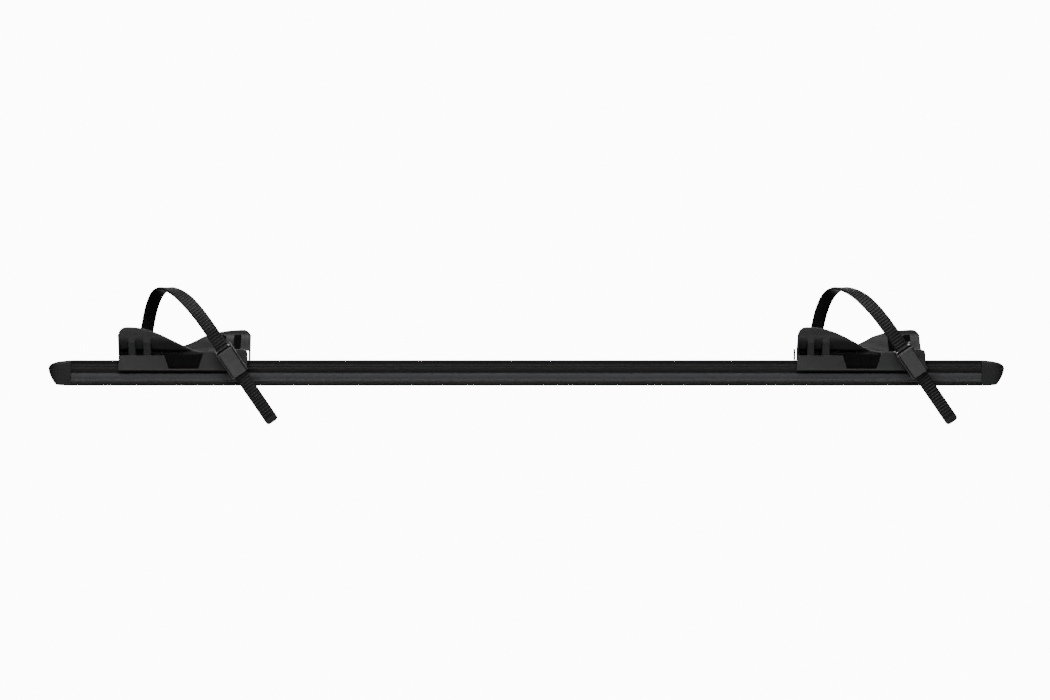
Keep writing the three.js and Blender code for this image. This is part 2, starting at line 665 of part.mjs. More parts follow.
const wheelRail = new THREE.Group();
wheelRail.add(mesh('rail', rail(), MATERIALS.anodised));
for (const [side, turn] of [['left', Math.PI], ['right', 0]]) {
  const end = new THREE.Group();
  end.rotation.z = turn;
  end.position.x = (RAIL_HALF_LENGTH + GAP) * Math.cos(turn);
  end.add(mesh(`end_cap_${side}`, endCap(), MATERIALS.moulding));
  end.add(mesh(`end_cap_screw_${side}`, capScrew(), MATERIALS.zinc));
  wheelRail.add(end);
}
HOLDERS.forEach((place) => wheelRail.add(holder(place)));

export default wheelRail;
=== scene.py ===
"""A bicycle wheel rail for a roof rack: black aluminium channel, nose caps, two moulded wheel
cradles, each with a toothed strap and a ratchet buckle. Shapes below are in millimetres, in the
CAD's frame; the stage, lights and camera are in metres."""

import json
import math

import bmesh
import bpy
import numpy as np
from mathutils import Matrix, Vector


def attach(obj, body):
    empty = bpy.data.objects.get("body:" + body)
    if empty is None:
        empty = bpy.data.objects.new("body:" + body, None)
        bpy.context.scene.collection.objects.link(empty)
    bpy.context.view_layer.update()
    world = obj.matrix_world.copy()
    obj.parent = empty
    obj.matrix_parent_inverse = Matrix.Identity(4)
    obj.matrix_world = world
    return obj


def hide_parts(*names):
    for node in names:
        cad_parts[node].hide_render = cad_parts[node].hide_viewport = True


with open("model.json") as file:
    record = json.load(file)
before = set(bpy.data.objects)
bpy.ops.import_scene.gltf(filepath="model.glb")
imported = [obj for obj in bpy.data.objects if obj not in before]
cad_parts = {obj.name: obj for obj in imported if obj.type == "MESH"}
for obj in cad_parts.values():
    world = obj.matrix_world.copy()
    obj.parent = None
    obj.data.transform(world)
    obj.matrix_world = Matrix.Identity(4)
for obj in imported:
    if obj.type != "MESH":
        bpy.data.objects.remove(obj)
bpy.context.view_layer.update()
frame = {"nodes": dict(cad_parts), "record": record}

MM = 0.001

# ---- driving dimensions, as in the CAD --------------------------------------------------------

# Clearance between pieces, and the angle from which an edge is sharp.
GAP = 0.3
SHARP_ANGLE = math.radians(38)

# The rail lies along x, its underside at z 0; the caps are one nose and one plug each.
RAIL_HALF_LENGTH = 608.0
RAIL_HEIGHT = 34.2
RAIL_HALF_WIDTH = 31.0
FLOOR_TOP = 9.0
CHANNEL_HALF_WIDTH = 27.3
LIP_HALF_OPENING = 23.0
LIP_UNDERSIDE = 32.0
SLOT_HALF_MOUTH = 4.1
SLOT_HALF_WIDTH = 8.6
NOSE_LENGTH = 31.7
NOSE_STRAIGHT = 13.0
PLUG_LENGTH = 22.0
PLUG_WALL = 2.4

# Where the middle of each cradle stands on the rail.
HOLDERS = {"left": -458.5, "right": 447.0}

# One cradle, with x from its own middle. Each wall has its high end at the left of whoever
# faces it, so the rear wall is made like the front one and turned half round.
HALF_LENGTH = 85.75
SKIRT_BOTTOM = 20.7
SKIRT_INNER = 31.0
SKIRT_OUTER = 36.0
PANEL_TOP = 40.5
SILL_TOP = 22.7
RECESS_BACK = -31.6
DECK_BOTTOM = RAIL_HEIGHT + GAP
DECK_TOP = 38.0
DECK_INNER = 21.0
DECK_HALF_LENGTH = 76.0
BED_HALF_WIDTH = 22.6
BED_TOP = 34.0
PAD_TOP = 34.8
WALL = 2.8
WALL_CORNER = 12.0
WALL_LEVELS = 22
FLARE_HALF_WIDTH = 46.5
END_PLATE = 1.7
WINDOW_START = 77.8
WINDOW_TOP = 46.5
WALL_START = -HALF_LENGTH + 0.4
RIBS = [(-72.3, -63.0), (-52.3, -42.3)]
RIB_STEP = 0.35
RIB_WALL = 1.8
RIB_FOOT = 36.0
RIB_TOP = 69.0
# Below this height the ribs' outer faces get painted shade.
RIB_PAINTED_SHADE_TOP = 58.0
FRONT_RIM = {
    "high": 78.5,
    "corner": 11.5,
    "fall": [(-70, 78.5), (-59, 77.7), (-47.2, 75.3), (-37.6, 72.1), (-27, 67.2), (-16.3, 61.5),
             (-5.6, 55.8), (6.2, 49.8), (16.9, 46.6), (28, 45.3), (40, 45.1)],
    "low": 45.1,
    "end": 48.2,
}
REAR_RIM = {
    "high": 75.3,
    "corner": 10.0,
    "fall": [(-72, 75.3), (-64.9, 74.9), (-54.1, 74), (-48.7, 73.2), (-35.5, 70.1), (-21.7, 65.3),
             (-10.9, 59.3), (0, 54.2), (11, 51.1), (22, 50.1)],
    "low": 50.1,
    "end": 50.1,
}

# The buckle, in its own axes: x down the strap's fall, y across it, z out from the cradle.
AXLE = (-16.6, 13.6)
HOLDING_AXLE = (-22, 12.8)
FRAME_REACH = (-25, 19)
FRAME_HALF_WIDTH = 12.25
FRAME_CHEEK = 1.7
LEVER_REACH = (-17.6, 19.7)
LEVER_HALF_WIDTH = 9.6
LEVER_LAYER = (14.0, 16.2)
LEVER_EAR = 1.2
PAWL_HALF_WIDTH = 8

# The strap; its tail and its first valley are measured down the fall, as the buckle is.
STRAP_HALF_WIDTH = 8.8
STRAP_THICKNESS = 2.2
STRAP_EDGE = 0.7
STRAP_CORNER = 4.5
TOOTH_PITCH = 4.1
TOOTH_HEIGHT = 1.1
TOOTH_HALF_WIDTH = 7.5
STRAP_CENTRE_OUT = 8.6
TAIL_END = 96.3
TIP_PLAIN = 8.5
VALLEY = -20.7
TEETH = 60

FALL = Vector((0.565, 0.0, -0.825)).normalized()
ACROSS = Vector((-FALL.z, 0.0, FALL.x))
OUTWARD = Vector((0.0, -1.0, 0.0))
BUCKLE = Vector((67.0, -SKIRT_OUTER, 31.34))

# ---- shells: (vertices, faces) in millimetres -------------------------------------------------


def swap(axis, u, v, w):
    """The point of an outline (u, v) at w along axis; outlines are (y, z), (x, z) or (x, y)."""
    return {"x": (w, u, v), "y": (u, w, v), "z": (u, v, w)}[axis]


def prism(outline, axis, low, high):
    """A flat outline extruded along an axis."""
    count = len(outline)
    verts = [swap(axis, u, v, low) for u, v in outline]
    verts += [swap(axis, u, v, high) for u, v in outline]
    faces = [(i, (i + 1) % count, count + (i + 1) % count, count + i) for i in range(count)]
    faces += [tuple(reversed(range(count))), tuple(range(count, 2 * count))]
    return verts, faces


def cuboid(x, y, z):
    return prism([(x[0], y[0]), (x[1], y[0]), (x[1], y[1]), (x[0], y[1])], "z", *z)


def loft(rings):
    """One surface through rings of equal count, with a face on each end."""
    count = len(rings[0])
    verts = [point for ring in rings for point in ring]
    faces = []
    for r in range(len(rings) - 1):
        a, b = r * count, (r + 1) * count
        faces += [(a + i, a + (i + 1) % count, b + (i + 1) % count, b + i) for i in range(count)]
    last = (len(rings) - 1) * count
    faces += [tuple(reversed(range(count))), tuple(range(last, last + count))]
    return verts, faces


def arc(centre, radius, start, end, steps):
    """Points on an arc, angles in degrees."""
    angles = [math.radians(start + (end - start) * i / steps) for i in range(steps + 1)]
    return [(centre[0] + radius * math.cos(a), centre[1] + radius * math.sin(a)) for a in angles]


def rounded_box(x, y, radius, steps=5):
    """A rectangle with round corners."""
    corners = [(x[1], y[0], -90), (x[1], y[1], 0), (x[0], y[1], 90), (x[0], y[0], 180)]
    mid_x, mid_y = sum(x) / 2, sum(y) / 2
    points = []
    for corner_x, corner_y, start in corners:
        centre_x = corner_x - math.copysign(radius, corner_x - mid_x)
        centre_y = corner_y - math.copysign(radius, corner_y - mid_y)
        points += arc((centre_x, centre_y), radius, start, start + 90, steps)
    return points


def turned(shell, matrix):
    """A shell moved by a matrix."""
    verts, faces = shell
    return [tuple(matrix @ Vector(v)) for v in verts], faces


def merged(*shells):
    """Several shells as one."""
    verts, faces = [], []
    for part_verts, part_faces in shells:
        start = len(verts)
        verts += part_verts
        faces += [tuple(start + i for i in face) for face in part_faces]
    return verts, faces


HALF_TURN = Matrix.Rotation(math.pi, 4, "Z")
BUCKLE_AXES = Matrix.Translation(BUCKLE) @ Matrix(
    (
        (FALL.x, ACROSS.x, OUTWARD.x, 0),
        (FALL.y, ACROSS.y, OUTWARD.y, 0),
        (FALL.z, ACROSS.z, OUTWARD.z, 0),
        (0, 0, 0, 1),
    )
)


def piece(name, shell, body, material, bevel=0.0, segments=2, stands_for=(), shift=0.0):
    """A named object on a CAD body, with faces made to point out and sharp edges rounded."""
    verts, faces = shell
    mesh = bpy.data.meshes.new(name)
    mesh.from_pydata([((x + shift) * MM, y * MM, z * MM) for x, y, z in verts], [], faces)
    mesh.materials.append(material)
    work = bmesh.new()
    work.from_mesh(mesh)
    bmesh.ops.remove_doubles(work, verts=work.verts, dist=1e-6)
    bmesh.ops.recalc_face_normals(work, faces=work.faces)
    work.to_mesh(mesh)
    work.free()
    mesh.shade_smooth()
    mesh.set_sharp_from_angle(angle=SHARP_ANGLE)
    obj = bpy.data.objects.new(name, mesh)
    bpy.context.scene.collection.objects.link(obj)
    if bevel:
        round_edges(obj, bevel, segments)
    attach(obj, body)
    if stands_for:
        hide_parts(*stands_for)
    return obj


def round_edges(obj, width, segments=2):
    modifier = obj.modifiers.new("round_edges", "BEVEL")
    modifier.width = width * MM
    modifier.segments = segments
    modifier.limit_method = "ANGLE"
    modifier.angle_limit = SHARP_ANGLE
    modifier.harden_normals = True


# ---- materials --------------------------------------------------------------------------------


class Nodes:
    """A small helper for one material's node tree."""

    def __init__(self, name):
        self.material = bpy.data.materials.new(name)
        self.material.use_nodes = True
        self.tree = self.material.node_tree
        self.shader = self.tree.nodes["Principled BSDF"]
        self.coordinates = self.tree.nodes.new("ShaderNodeTexCoord")

    def link(self, out, into):
        self.tree.links.new(out, into)

    def scaled(self, scale):
        mapping = self.tree.nodes.new("ShaderNodeMapping")
        mapping.inputs["Scale"].default_value = scale
        self.link(self.coordinates.outputs["Object"], mapping.inputs["Vector"])
        return mapping.outputs["Vector"]

    def noise(self, scale, detail=3.0, roughness=0.55):
        node = self.tree.nodes.new("ShaderNodeTexNoise")
        node.inputs["Scale"].default_value = 1.0
        node.inputs["Detail"].default_value = detail
        node.inputs["Roughness"].default_value = roughness
        self.link(self.scaled(scale), node.inputs["Vector"])
        return node.outputs["Fac"]

    def ramp(self, fac, low, high, start=0.3, end=0.7):
        node = self.tree.nodes.new("ShaderNodeValToRGB")
        node.color_ramp.elements[0].position = start
        node.color_ramp.elements[1].position = end
        node.color_ramp.elements[0].color = (*low, 1)
        node.color_ramp.elements[1].color = (*high, 1)
        self.link(fac, node.inputs["Fac"])
        return node.outputs["Color"]

    def span(self, fac, low, high):
        node = self.tree.nodes.new("ShaderNodeMapRange")
        node.inputs["From Min"].default_value = 0.3
        node.inputs["From Max"].default_value = 0.7
        node.inputs["To Min"].default_value = low
        node.inputs["To Max"].default_value = high
        self.link(fac, node.inputs["Value"])
        return node.outputs["Result"]

    def bump(self, *layers):
        """Layers of (height, strength, distance in metres), finest last."""
        normal = None
        for height, strength, distance in layers:
            node = self.tree.nodes.new("ShaderNodeBump")
            node.inputs["Strength"].default_value = strength
            node.inputs["Distance"].default_value = distance
            self.link(height, node.inputs["Height"])
            if normal is not None:
                self.link(normal, node.inputs["Normal"])
            normal = node.outputs["Normal"]
        self.link(normal, self.shader.inputs["Normal"])

    def worn_edges(self, colour, edge_colour, amount):
        """Lightens convex edges a little, where handling polishes them."""
        geometry = self.tree.nodes.new("ShaderNodeNewGeometry")
        edge = self.tree.nodes.new("ShaderNodeMapRange")
        edge.inputs["From Min"].default_value = 0.52
        edge.inputs["From Max"].default_value = 0.62
        edge.inputs["To Max"].default_value = amount
        self.link(geometry.outputs["Pointiness"], edge.inputs["Value"])
        mix = self.tree.nodes.new("ShaderNodeMixRGB")
        mix.inputs["Color2"].default_value = (*edge_colour, 1)
        self.link(edge.outputs["Result"], mix.inputs["Fac"])
        self.link(colour, mix.inputs["Color1"])
        return mix.outputs["Color"]


def paint_light_by_height(made, colour, bands):
    """Paints light and shade by height: multiplies a colour by the tones of bands, which are
    (height in millimetres, tone).
    """
    split = made.tree.nodes.new("ShaderNodeSeparateXYZ")
    made.link(made.coordinates.outputs["Object"], split.inputs["Vector"])
    reach = made.tree.nodes.new("ShaderNodeMapRange")
    reach.inputs["From Max"].default_value = RAIL_HEIGHT * MM
    made.link(split.outputs["Z"], reach.inputs["Value"])
    ramp = made.tree.nodes.new("ShaderNodeValToRGB")
    while len(ramp.color_ramp.elements) < len(bands):
        ramp.color_ramp.elements.new(0.5)
    for element, (height, tone) in zip(ramp.color_ramp.elements, bands):
        element.position = height / RAIL_HEIGHT
        element.color = (tone, tone, tone, 1)
    made.link(reach.outputs["Result"], ramp.inputs["Fac"])
    mix = made.tree.nodes.new("ShaderNodeMixRGB")
    mix.blend_type = "MULTIPLY"
    mix.inputs["Fac"].default_value = 1.0
    made.link(colour, mix.inputs["Color1"])
    made.link(ramp.outputs["Color"], mix.inputs["Color2"])
    return mix.outputs["Color"]


# Painted light and shade on the rail's side, by height: the dark foot, recess and upper zone are
# painted shade, the brighter top of the flat band a painted highlight.
RAIL_PAINTED_LIGHT_BANDS = [
    (0.0, 0.05),
    (4.3, 0.08),
    (4.9, 0.3),
    (6.2, 0.95),
    (14.8, 1.15),
    (15.6, 1.3),
    (16.6, 0.2),
    (33.0, 0.26),
]


def anodised_material():
    """Black anodising with streaks; painted shade on the foot and upper side, a painted highlight
    on the band.
    """
    made = Nodes("black_anodised_aluminium")
    streaks = made.noise((6, 900, 900), detail=4)
    cloud = made.noise((9, 40, 40), detail=2)
    grain = made.noise((3000, 3000, 3000), detail=2)
    colour = made.ramp(streaks, (0.054, 0.055, 0.057), (0.068, 0.069, 0.072))
    worn = made.worn_edges(colour, (0.09, 0.09, 0.095), 0.35)
    # The painted shade and highlight by height go into the base colour here.
    made.link(paint_light_by_height(made, worn, RAIL_PAINTED_LIGHT_BANDS), made.shader.inputs["Base Color"])
    made.link(made.span(cloud, 0.36, 0.46), made.shader.inputs["Roughness"])
    made.shader.inputs["Metallic"].default_value = 0.25
    made.shader.inputs["Specular IOR Level"].default_value = 0.2
    made.bump((streaks, 0.08, 0.00004), (grain, 0.12, 0.00002))
    return made.material


def moulding_material(name, low, high, roughness, grain_size=0.45, gloss=0.42):
    """Moulded plastic: spark-eroded grain, faint flow marks and a little dust in the colour."""
    made = Nodes(name)
    flow = made.noise((14, 25, 30), detail=4)
    grain_scale = 1.0 / (grain_size * MM)
    grain = made.noise((grain_scale, grain_scale, grain_scale), detail=3, roughness=0.7)
    colour = made.ramp(flow, low, high)
    lighter = tuple(min(1.0, c * 2.2) for c in high)
    made.link(made.worn_edges(colour, lighter, 0.3), made.shader.inputs["Base Color"])
    made.link(made.span(flow, roughness - 0.05, roughness + 0.06), made.shader.inputs["Roughness"])
    made.shader.inputs["Specular IOR Level"].default_value = gloss
    made.bump((flow, 0.05, 0.0003), (grain, 0.22, 0.00006))
    return made.material


def steel_material(name, low, high, roughness, metallic=1.0):
    """Plated or coated steel: a cloudy patina in the colour, brushing in the roughness."""
    made = Nodes(name)
    patina = made.noise((180, 180, 180), detail=5)
    brush = made.noise((2500, 300, 2500), detail=2)
    colour = made.ramp(patina, low, high)
    made.link(colour, made.shader.inputs["Base Color"])
    made.link(made.span(brush, roughness - 0.06, roughness + 0.08), made.shader.inputs["Roughness"])
    made.shader.inputs["Metallic"].default_value = metallic
    made.bump((brush, 0.1, 0.00003))
    return made.material


def backdrop_material():
    """A pale surface that glows, so that it stays pale without being lit."""
    made = Nodes("pale_backdrop")
    paper = made.noise((3, 3, 3), detail=2)
    colour = made.ramp(paper, (0.93, 0.93, 0.93), (0.95, 0.95, 0.95))
    made.link(colour, made.shader.inputs["Base Color"])
    made.shader.inputs["Roughness"].default_value = 0.9
    made.shader.inputs["Specular IOR Level"].default_value = 0.1
    made.shader.inputs["Emission Color"].default_value = (1, 1, 1, 1)
    made.shader.inputs["Emission Strength"].default_value = 12.0
    return made.material


ANODISED = anodised_material()
MOULDING = moulding_material(
    "moulded_plastic", (0.024, 0.024, 0.025), (0.030, 0.030, 0.031), 0.55
)
# A darker copy of the moulding: painted shade on the curved nose caps and on the ribs' lower outer
# faces.
SHADE_PAINTED_MOULDING = moulding_material(
    "cap_and_rib_plastic_painted_shade", (0.015, 0.015, 0.016), (0.020, 0.020, 0.021), 0.58, gloss=0.32
)
# A near-black copy of the moulding: painted shade in the sunk recesses and inside the hollow ribs.
DEEP_SHADE_PAINTED_MOULDING = moulding_material(
    "moulded_plastic_painted_deep_shade", (0.002, 0.002, 0.002), (0.003, 0.003, 0.003), 0.85, gloss=0.12
)
# The strap body is darker than its teeth: painted shade in the valleys between the teeth.
SHADE_PAINTED_STRAP = moulding_material(
    "strap_plastic", (0.006, 0.006, 0.007), (0.009, 0.009, 0.010), 0.5, grain_size=0.6, gloss=0.3
)
# The teeth and thumb pad are a lighter copy of the strap's plastic: painted light on the crests.
LIGHT_PAINTED_TEETH = moulding_material(
    "strap_teeth", (0.014, 0.014, 0.015), (0.019, 0.019, 0.020), 0.5, grain_size=0.6, gloss=0.32
)
LEVER = moulding_material(
    "lever_plastic", (0.050, 0.050, 0.051), (0.062, 0.062, 0.063), 0.52, grain_size=0.35
)
BLACK_STEEL = steel_material(
    "black_steel", (0.06, 0.06, 0.062), (0.08, 0.08, 0.083), 0.38, metallic=0.6
)
PAWL_STEEL = steel_material(
    "pawl_steel", (0.02, 0.02, 0.022), (0.03, 0.03, 0.033), 0.6, metallic=0.3
)
ZINC = steel_material("zinc_steel", (0.42, 0.43, 0.44), (0.52, 0.53, 0.54), 0.34)

# ---- rail and caps ----------------------------------------------------------------------------


def rail_section():
    """The extrusion's outline as (y, z): ridged sides, lips over the channel, T-slot underneath."""
    half = [(SLOT_HALF_MOUTH, 0), (25, 0)]
    half += arc((25.0, 4.6), 4.6, -90, -38, 4)[1:]
    half += [(30.3, 2.4), (30.5, 2.9), (30.4, 3.5), (29.9, 4.3), (30.1, 5.0), (30.8, 5.6)]
    half += [(31.0, 6.4), (31.0, 7.9), (30.85, 8.25), (31.0, 8.6), (31.0, 13.7), (30.9, 14.1)]
    half += [(31.0, 14.5), (31.0, 15.7), (30.7, 16.4), (29.2, 17.2), (29.0, 17.9), (29.0, 20.6)]
    for ridge in (22.7, 26.3):
        half += [(29.2, ridge - 1.5), (29.6, ridge - 1.0), (29.65, ridge), (29.6, ridge + 0.9)]
        half += [(29.25, ridge + 1.5)]
    half += [(29.2, 28.5), (29.6, 29.0), (29.8, 29.7), (29.8, 33.2)]
    half += arc((28.8, 33.2), 1.0, 0, 90, 4)
    half += [(23.6, RAIL_HEIGHT), (LIP_HALF_OPENING, 33.6), (LIP_HALF_OPENING, 32.4)]
    half += [(23.4, LIP_UNDERSIDE), (26.8, LIP_UNDERSIDE)]
    half += [(CHANNEL_HALF_WIDTH, 31.5), (CHANNEL_HALF_WIDTH, 10.4)]
    half += arc((CHANNEL_HALF_WIDTH - 1.4, FLOOR_TOP + 1.4), 1.4, 0, -90, 4)[1:]
    half += [(12.6, FLOOR_TOP), (12.2, 9.5), (11.6, 9.5), (11.2, FLOOR_TOP)]
    mirrored = [(-y, z) for y, z in reversed(half)]
    slot = [(SLOT_HALF_MOUTH, 2.2), (SLOT_HALF_WIDTH, 2.2), (SLOT_HALF_WIDTH, 7)]
    slot = [(-y, z) for y, z in slot] + slot[::-1]
    return half + mirrored + slot


def bezier(points, steps):
    """Points on a Bezier curve of any order."""
    p = [np.array(point, float) for point in points]
    order = len(p) - 1
    result = []
    for i in range(steps + 1):
        t = i / steps
        total = sum(
            math.comb(order, k) * (1 - t) ** (order - k) * t**k * p[k] for k in range(order + 1)
        )
        result.append(tuple(total))
    return result


def cap_shell():
    """The nose: rings from the seam to the tip, the upper zone set in from the lower one."""
    top = bezier([(0, RAIL_HEIGHT), (13.7, 33.6), (31.5, 31.5), (NOSE_LENGTH, 23.3)], 60)
    low = bezier([(0, 0), (NOSE_LENGTH - 13, 0.4), (NOSE_LENGTH - 11.2, 1.7)], 20)
    low += bezier([(20.5, 1.7), (26.2, 8.5), (30.8, 17), (NOSE_LENGTH, 23.3)], 60)[1:]
    top_x, top_z = zip(*top)
    low_x, low_z = zip(*low)
    rings = []
    stations = [NOSE_LENGTH * math.sin(math.pi / 2 * i / 26) for i in range(26)]
    for x in [*stations, NOSE_LENGTH - 0.02]:
        upper = float(np.interp(x, top_x, top_z))
        lower = float(np.interp(x, low_x, low_z))
        crease = 19.7 + 3.3 * x / NOSE_LENGTH
        crease = min(max(crease, lower + 0.45 * (upper - lower)), upper - 0.3 * (upper - lower))
        beyond = max(0.0, (x - NOSE_STRAIGHT) / (NOSE_LENGTH - NOSE_STRAIGHT))
        half = RAIL_HALF_WIDTH - 15.0 * (1 - math.sqrt(max(0.0, 1 - beyond**3)))
        soft = min(2.4, 0.3 * (upper - lower))
        rings.append(cap_ring(x, half, lower, upper, crease, soft))
    return loft(rings)


def cap_ring(x, half, lower, upper, crease, soft):
    """The nose's section at x, with a crease where the upper zone is set in."""
    inset = 0.9
    side = arc((half - soft, lower + soft), soft, -90, 0, 5)
    side += [(half, crease - 0.25), (half - inset, crease + 0.25)]
    top_radius = min(1.6 * soft, upper - crease - 0.3)
    side += arc((half - inset - top_radius, upper - top_radius), top_radius, 0, 90, 6)
    return [(x, y, z) for y, z in side] + [(x, -y, z) for y, z in reversed(side)]


def plug_shell():
    """What holds a cap in the channel: two legs on a shelf."""
    reach = (-PLUG_LENGTH, 0.4)
    outer = CHANNEL_HALF_WIDTH - GAP
    legs = []
    for side in (-1, 1):
        ys = sorted((side * (outer - PLUG_WALL), side * outer))
        legs.append(cuboid(reach, ys, (FLOOR_TOP + 1, LIP_UNDERSIDE - GAP)))
    shelf = cuboid(reach, (1 - outer, outer - 1), (FLOOR_TOP + GAP, 12))
    return merged(*legs, shelf)


def make_rail():
    extrusion = prism(rail_section(), "x", -RAIL_HALF_LENGTH, RAIL_HALF_LENGTH)
    piece("rail_extrusion", extrusion, "rail_assembly", ANODISED,
          bevel=0.15, segments=1, stands_for=("rail",))
    for side, end, turn in (("left", -1, HALF_TURN), ("right", 1, Matrix.Identity(4))):
        place = Matrix.Translation((end * (RAIL_HALF_LENGTH + GAP), 0, 0))
        shell = turned(merged(cap_shell(), plug_shell()), place @ turn)
        # The caps take the darker copy of the moulding: painted shade on their curved faces.
        piece(f"nose_cap_{side}", shell, "rail_assembly", SHADE_PAINTED_MOULDING,
              bevel=0.35, stands_for=(f"end_cap_{side}",))


# ---- cradle -----------------------------------------------------------------------------------


def flare_curve():
    """The wall's outer face as rows of (y, z): upright, then flaring out."""
    curve = [(22.6, 32.0), (22.8, 40.0)]
    curve += bezier([(23.6, 47), (33.5, 54), (45.3, 59), (FLARE_HALF_WIDTH, 70)], 30)
    curve += [(FLARE_HALF_WIDTH, 90.0)]
    return np.array(curve)


def read_curve(curve, z):
    """The y of a curve at height z."""
    return np.interp(z, curve[:, 1], curve[:, 0])


def wall_point(curve, z):
    """(outer point, inner point) of the wall where its outer face is at height z."""
    dz = 0.6
    dy = read_curve(curve, z + dz) - read_curve(curve, z - dz)
    run = np.array([dy, 2 * dz]) / math.hypot(dy, 2 * dz)
    outer = np.array([read_curve(curve, z), z])
    return outer, outer + WALL * np.array([-run[1], run[0]])


def ease(t):
    """A smooth step from 0 to 1."""
    t = min(1.0, max(0.0, t))
    return t * t * (3 - 2 * t)


def smooth_height(x, knots):
    """A smooth curve through knots (x, z), read at x."""
    xs, zs = zip(*knots)
    slopes = np.gradient(np.array(zs), np.array(xs))
    i = min(max(int(np.searchsorted(xs, x)) - 1, 0), len(xs) - 2)
    span = xs[i + 1] - xs[i]
    t = (x - xs[i]) / span
    start = (1 + 2 * t) * (1 - t) ** 2 * zs[i] + t * (1 - t) ** 2 * span * slopes[i]
    return start + t * t * (3 - 2 * t) * zs[i + 1] + t * t * (t - 1) * span * slopes[i + 1]


def rim_height(x, rim):
    """A wall's top at x: round corner, high end, long fall, and a low end with a soft corner."""
    corner, fall = rim["corner"], rim["fall"]
    left = WALL_START + corner
    if x < left:
        return rim["high"] - corner + math.sqrt(corner**2 - min(corner, left - x) ** 2)
    if x < fall[0][0]:
        return rim["high"]
    if x < fall[-1][0]:
        return smooth_height(x, fall)
    rise = (rim["end"] - rim["low"]) * ease((x - 45) / 26)
    into_corner = max(0.0, (x - (HALF_LENGTH - 5.0)) / 5.0)
    return rim["low"] + rise - 4.6 * into_corner**2.6


def rib_curve():
    """A rib's outer face as rows of (y, z), from the skirt up to the flare."""
    return np.array([(30.0, 32.0), (35.9, PANEL_TOP), (46.3, 69.0), (FLARE_HALF_WIDTH, 90.0)])


def wall_stations(last):
    """(x, style) along the wall: plain, or hollow rib, with close pairs where it steps."""
    xs = [WALL_START + WALL_CORNER * (1 - math.cos(math.pi / 2 * i / 10)) for i in range(11)]
    xs += list(np.linspace(WALL_START + WALL_CORNER + 1.5, last, 72))
    stations = [(x, "plain") for x in xs if not any(a - 0.5 < x < b + 0.5 for a, b in RIBS)]
    for a, b in RIBS:
        stations += [(a - RIB_STEP, "plain"), (b + RIB_STEP, "plain")]
        stations += [(x, "rib") for x in np.linspace(a + RIB_STEP, b - RIB_STEP, 4)]
    for x in (-HALF_LENGTH + END_PLATE, -WINDOW_START):
        stations += [(x - 0.02, "plain"), (x + 0.02, "plain")]
    return sorted(stations)


def wall_shell(rim, windowed, last):
    """A wall with a round rim, flaring out over its high end, ribs hollow from the inside."""
    flare, rib = flare_curve(), rib_curve()
    rings = []
    for x, style in wall_stations(last):
        top = rim_height(x, rim)
        in_window = windowed and -HALF_LENGTH + END_PLATE < x < -WINDOW_START
        bottom = WINDOW_TOP if in_window else LIP_UNDERSIDE
        outer, inner = [], []
        for z in bottom + (top - WALL / 2 - bottom) * np.linspace(0, 1, WALL_LEVELS):
            out_point, in_point = wall_point(flare, z)
            rib_y = read_curve(rib, z)
            if style == "rib" and RIB_FOOT < z < RIB_TOP and rib_y > out_point[0]:
                out_point, in_point = np.array([rib_y, z]), np.array([rib_y - RIB_WALL, z])
            outer.append(out_point)
            inner.append(in_point)
        middle = (outer[-1] + inner[-1]) / 2
        radius = np.linalg.norm(outer[-1] - inner[-1]) / 2
        start = math.degrees(math.atan2(*(outer[-1] - middle)[::-1]))
        lip = arc(middle, radius, start, start + 180, 6)[1:-1]
        ring = [tuple(p) for p in outer] + lip + [tuple(p) for p in reversed(inner)]
        rings.append([(x, -y, z) for y, z in ring])
    return loft(rings)


def slab(outline, y_low, y_high):
    """An (x, z) outline between two depths."""
    return prism(outline, "y", y_low, y_high)


def block_outline(rim, bottom, start, end):
    """The solid low end under a wall: sloping start, the rim's line, and its soft corner."""
    points = [(start, bottom), (start + (rim["low"] - bottom) * 0.33, rim["low"] - 0.3)]
    points += [(x, rim_height(x, rim)) for x in (34, 45, 52, 58, 64, 70)]
    corner = [(4.8, 0), (2.6, 0.5), (1.1, 1.8), (0.3, 3.8), (0, 6)]
    points += [(end - back, rim["end"] - down) for back, down in corner]
    return points + [(end, bottom)]


def front_panels():
    """Front face: plain panel at the left, block at the right, open between for the recess."""
    L, face, low = HALF_LENGTH, -SKIRT_OUTER, SILL_TOP - 0.5
    left = [(-L, low), (-18.8, low), (-24.6, PANEL_TOP), (-L, PANEL_TOP)]
    right = block_outline(FRONT_RIM, low, 20.3, L)
    sill = cuboid((-L, L), (face - 0.15, -SKIRT_INNER), (SKIRT_BOTTOM, SILL_TOP))
    return merged(slab(left, face, RECESS_BACK), slab(right, face, RECESS_BACK), sill)


def rear_panels():
    """Rear face: two plain panels, low at their far ends, with the recess between them."""
    L, D, face = HALF_LENGTH, DECK_HALF_LENGTH, SKIRT_OUTER
    low, end = SILL_TOP - 0.5, RAIL_HEIGHT + 0.1
    left = [(-L, low), (-20.3, low), (-26.2, PANEL_TOP), (-D, PANEL_TOP), (-D, end), (-L, end)]
    right = [(18.8, low), (L, low), (L, end), (D, end), (D, PANEL_TOP), (24.6, PANEL_TOP)]
    sill = cuboid((-L, L), (SKIRT_INNER, face + 0.15), (SKIRT_BOTTOM, SILL_TOP))
    return merged(slab(left, -RECESS_BACK, face), slab(right, -RECESS_BACK, face), sill)


